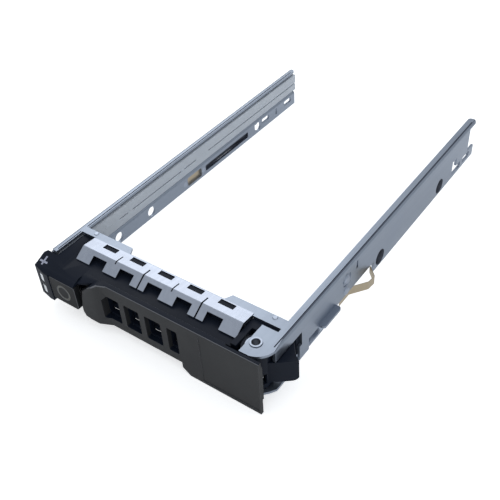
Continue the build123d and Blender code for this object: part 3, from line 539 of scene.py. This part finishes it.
def start_block(name, low, high):
    """A block between two corners measured on the tray, the start of a modelled piece."""
    bpy.ops.object.select_all(action="DESELECT")
    size = (Vector(high) - Vector(low)) * MM
    middle = at(*((Vector(high) + Vector(low)) / 2))
    bpy.ops.mesh.primitive_cube_add(size=1, location=middle, scale=size)
    piece = bpy.context.object
    piece.name = name
    bpy.ops.object.transform_apply(location=True, rotation=True, scale=True)
    return piece


def trim(piece, point, outward):
    """Cut away what lies beyond a plane through a point on the tray, and close the cut."""
    bpy.context.view_layer.objects.active = piece
    bpy.ops.object.mode_set(mode="EDIT")
    bpy.ops.mesh.select_all(action="SELECT")
    bpy.ops.mesh.bisect(plane_co=at(*point), plane_no=outward, use_fill=True, clear_outer=True)
    bpy.ops.object.mode_set(mode="OBJECT")


def finish_piece(piece, material, body, width, segments):
    """Round a piece's edges, give it its material and let it ride on its body."""
    bevel = piece.modifiers.new("rounded edges", "BEVEL")
    bevel.width = width * MM
    bevel.segments = segments
    bevel.limit_method = "ANGLE"
    bpy.ops.object.modifier_apply(modifier=bevel.name)
    bpy.ops.object.shade_smooth_by_angle(angle=radians(SMOOTH_ANGLE))
    piece.data.materials.append(material)
    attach(piece, body)
    piece.select_set(False)


# The block's top falls to the front from its crest: rise over run, angle in radians, and
# the crest's height and place on the tray
BLOCK_SLOPE = 1.8 / 4.2
BLOCK_TILT = 0.4049
CREST_Z = -0.95
CREST_Y = -10.8

# The plus: thickness of the print, and length across, length along, x and y of each bar
PRINT_DEPTH = 0.12
PLUS_BARS = ((3.0, 0.62, -38.26, -14.1), (0.62, 2.9, -38.26, -13.75))

# The ring in the button's groove: middle, outer radius, width and depth
RING_MIDDLE = (-29.255, -16.47, -8.4)
RING_RADIUS = 2.56
RING_WIDTH = 0.42
RING_DEPTH = 0.14

# Axis of the lever's pivot on the tray
PIVOT_X = 32.705
PIVOT_Y = -8.1

# Planes that trim the shoulder: a point counted from the pivot, and the way out of the piece
SHOULDER_CUTS = (
    ((8.2, 5.4), (0.78, 0.62)),
    ((4.6, 9.2), (0.36, 0.93)),
    ((1.9, 5.0), (-0.97, 0.25)),
    ((5.2, 3.0), (0.25, -0.97)),
)


def build_plus_mark():
    """The plain plus printed on the sloping top of the block."""
    bars = []
    for across, along, x, y in PLUS_BARS:
        bpy.ops.object.select_all(action="DESELECT")
        bpy.ops.mesh.primitive_cube_add(
            size=1,
            location=at(x, y, CREST_Z + (y - CREST_Y) * BLOCK_SLOPE),
            scale=Vector((across, along, PRINT_DEPTH)) * MM,
            rotation=(BLOCK_TILT, 0, 0),
        )
        bar = bpy.context.object
        bpy.ops.object.transform_apply(location=True, rotation=True, scale=True)
        bars.append(bar)
    for bar in bars:
        bar.select_set(True)
    bpy.context.view_layer.objects.active = bars[0]
    bpy.ops.object.join()
    bars[0].name = "plus_mark"
    finish_piece(bars[0], MARK_PRINT, "frame", width=0.04, segments=1)


def build_ring_mark():
    """The printed ring that lies in the button's groove."""
    bpy.ops.object.select_all(action="DESELECT")
    bpy.ops.mesh.primitive_cylinder_add(
        vertices=64,
        radius=RING_RADIUS * MM,
        depth=RING_DEPTH * MM,
        location=at(*RING_MIDDLE),
        rotation=(radians(90), 0, 0),
    )
    ring = bpy.context.object
    ring.name = "ring_mark"
    bpy.ops.object.transform_apply(location=True, rotation=True, scale=True)
    bpy.ops.object.mode_set(mode="EDIT")
    bpy.ops.mesh.select_mode(type="FACE")
    bpy.ops.mesh.select_all(action="DESELECT")
    bpy.ops.object.mode_set(mode="OBJECT")
    for face in ring.data.polygons:
        face.select = abs(face.normal.y) > SQUARE
    bpy.ops.object.mode_set(mode="EDIT")
    bpy.ops.mesh.inset(thickness=RING_WIDTH * MM, use_individual=True)
    bpy.ops.mesh.bridge_edge_loops()
    bpy.ops.object.mode_set(mode="OBJECT")
    finish_piece(ring, RING_PRINT, "button", width=0.03, segments=1)


def build_cam_shoulder():
    """A guessed shoulder of the cam, which fills the web's notch while the lever is shut."""
    shoulder = start_block("cam_shoulder", low=(33.0, -5.2, -10.4), high=(42.0, 2.4, -4.62))
    for (x, y), (across, along) in SHOULDER_CUTS:
        trim(shoulder, point=(PIVOT_X + x, PIVOT_Y + y, 0), outward=(across, along, 0))
    finish_piece(shoulder, BLACK_PLASTIC, "lever", width=0.35, segments=3)


def build_side_boss():
    """A guessed boss of the bezel, placed along the line of sight through the web's notch."""
    boss = start_block("bezel_side_boss", low=(35.2, 2.85, -12.6), high=(37.35, 4.65, -1.3))
    trim(boss, point=(35.2, 2.85, -11.6), outward=(-0.5, 0, -0.87))
    finish_piece(boss, BLACK_PLASTIC, "frame", width=0.2, segments=2)


def build_visor():
    """A guessed tongue of the bezel's roof, over the recess at the left end of the handle."""
    visor = start_block("bezel_visor", low=(-24.4, -15.2, -3.6), high=(-18.4, -10.9, -2.3))
    trim(visor, point=(0, -12.4, -2.3), outward=(0, -0.3, 0.954))
    trim(visor, point=(0, -12.4, -3.1), outward=(0, 0.3, -0.954))
    trim(visor, point=(-24.4, -15.2, 0), outward=(0.409, -0.912, 0))
    finish_piece(visor, BLACK_PLASTIC, "frame", width=0.2, segments=3)


def build_end_rib():
    """A guessed rib of the bezel, placed along the line of sight under the gasket's right end."""
    rib = start_block("bezel_end_rib", low=(25.0, -4.6, -3.2), high=(26.5, -0.5, -0.85))
    trim(rib, point=(25.0, -4.6, -1.6), outward=(0, -0.8, 0.6))
    finish_piece(rib, BLACK_PLASTIC, "frame", width=0.15, segments=2)


build_end_rib()
build_plus_mark()
build_ring_mark()
build_cam_shoulder()
build_side_boss()
build_visor()
# Painted shade on the left clip's tail, behind its window
refinish(copy_node("ground_clip_left", "_finished"), PAINTED_SHADE_STEEL, on_clip_tail)

# Floor, backdrop and light

# Side of the floor in metres, and how much it is lifted towards white where the camera sees
# it and where metal or glass mirrors it
FLOOR_SIDE = 6.0
FLOOR_LIFT_SEEN = 0.55
FLOOR_LIFT_MIRRORED = 0.1

# Strength of the sky at the horizon and at the zenith
SKY_HORIZON = 0.4
SKY_ZENITH = 0.85

bpy.ops.mesh.primitive_plane_add(size=FLOOR_SIDE, location=(0, 0, 0))
floor = bpy.context.object
floor.name = "studio_floor"


def floor_material():
    """A pale floor whose open parts read as white and which keeps the caddy's soft shadow."""
    material, tree, shader = new_material("studio floor")
    shader.inputs["Base Color"].default_value = (0.95, 0.95, 0.95, 1)
    shader.inputs["Roughness"].default_value = 1.0
    shader.inputs["Specular IOR Level"].default_value = 0.0
    path = add_node(tree, "ShaderNodeLightPath")
    mirrored = add_node(tree, "ShaderNodeMath", operation="MAXIMUM")
    tree.links.new(path.outputs["Is Glossy Ray"], mirrored.inputs[0])
    tree.links.new(path.outputs["Is Transmission Ray"], mirrored.inputs[1])
    faint = add_node(tree, "ShaderNodeMath", operation="MULTIPLY")
    faint.inputs[1].default_value = FLOOR_LIFT_MIRRORED
    tree.links.new(mirrored.outputs[0], faint.inputs[0])
    lift = add_node(tree, "ShaderNodeMath", operation="MULTIPLY_ADD")
    lift.inputs[1].default_value = FLOOR_LIFT_SEEN
    tree.links.new(path.outputs["Is Camera Ray"], lift.inputs[0])
    tree.links.new(faint.outputs[0], lift.inputs[2])
    shader.inputs["Emission Color"].default_value = (1, 1, 1, 1)
    tree.links.new(lift.outputs[0], shader.inputs["Emission Strength"])
    return material


floor.data.materials.append(floor_material())


def build_studio():
    """A sky that grows brighter to the zenith, and a plain white backdrop for the camera."""
    world = bpy.data.worlds.new("studio")
    scene.world = world
    world.use_nodes = True
    tree = world.node_tree
    tree.nodes.clear()
    output = add_node(tree, "ShaderNodeOutputWorld")
    sky = add_node(tree, "ShaderNodeBackground")
    height = add_node(tree, "ShaderNodeSeparateXYZ")
    direction = add_node(tree, "ShaderNodeTexCoord")
    tree.links.new(direction.outputs["Generated"], height.inputs[0])
    level = add_node(tree, "ShaderNodeMapRange")
    level.inputs["From Min"].default_value = 0.0
    level.inputs["From Max"].default_value = 1.0
    level.inputs["To Min"].default_value = SKY_HORIZON
    level.inputs["To Max"].default_value = SKY_ZENITH
    tree.links.new(height.outputs["Z"], level.inputs["Value"])
    sky.inputs["Color"].default_value = (0.92, 0.96, 1.0, 1)
    tree.links.new(level.outputs["Result"], sky.inputs["Strength"])
    backdrop = add_node(tree, "ShaderNodeBackground")
    backdrop.inputs["Color"].default_value = (1, 1, 1, 1)
    backdrop.inputs["Strength"].default_value = 1.0
    path = add_node(tree, "ShaderNodeLightPath")
    mix = add_node(tree, "ShaderNodeMixShader")
    tree.links.new(path.outputs["Is Camera Ray"], mix.inputs[0])
    tree.links.new(sky.outputs[0], mix.inputs[1])
    tree.links.new(backdrop.outputs[0], mix.inputs[2])
    tree.links.new(mix.outputs[0], output.inputs["Surface"])


build_studio()

# What the lamps face, in millimetres
LAMP_AIM = (0, 0, 10)


def softbox(name, place, size, power):
    """A square area lamp at a place in millimetres, turned to the caddy; power in watts."""
    lamp = bpy.data.lights.new(name, "AREA")
    lamp.shape = "SQUARE"
    lamp.size = size * MM
    lamp.energy = power
    holder = bpy.data.objects.new(name, lamp)
    scene.collection.objects.link(holder)
    holder.location = Vector(place) * MM
    facing = (Vector(LAMP_AIM) - Vector(place)).normalized()
    holder.rotation_euler = facing.to_track_quat("-Z", "Y").to_euler()


softbox("key", place=(-331, 298, 401), size=320, power=0.55)
softbox("fill", place=(320, -260, 220), size=300, power=0.15)

# Camera
eye = bpy.data.cameras.new("photo camera")
eye.lens = CAMERA_LENS
eye.sensor_width = CAMERA_SENSOR
eye.clip_start = CAMERA_NEAR
camera = bpy.data.objects.new("photo camera", eye)
scene.collection.objects.link(camera)
turn = Euler((radians(90 - CAMERA_ELEVATION), 0, radians(CAMERA_AZIMUTH))).to_matrix()
turn = turn @ Matrix.Rotation(radians(CAMERA_ROLL), 3, "Z")
camera.matrix_world = Matrix.Translation(Vector(CAMERA_PLACE) * MM) @ turn.to_4x4()
scene.camera = camera
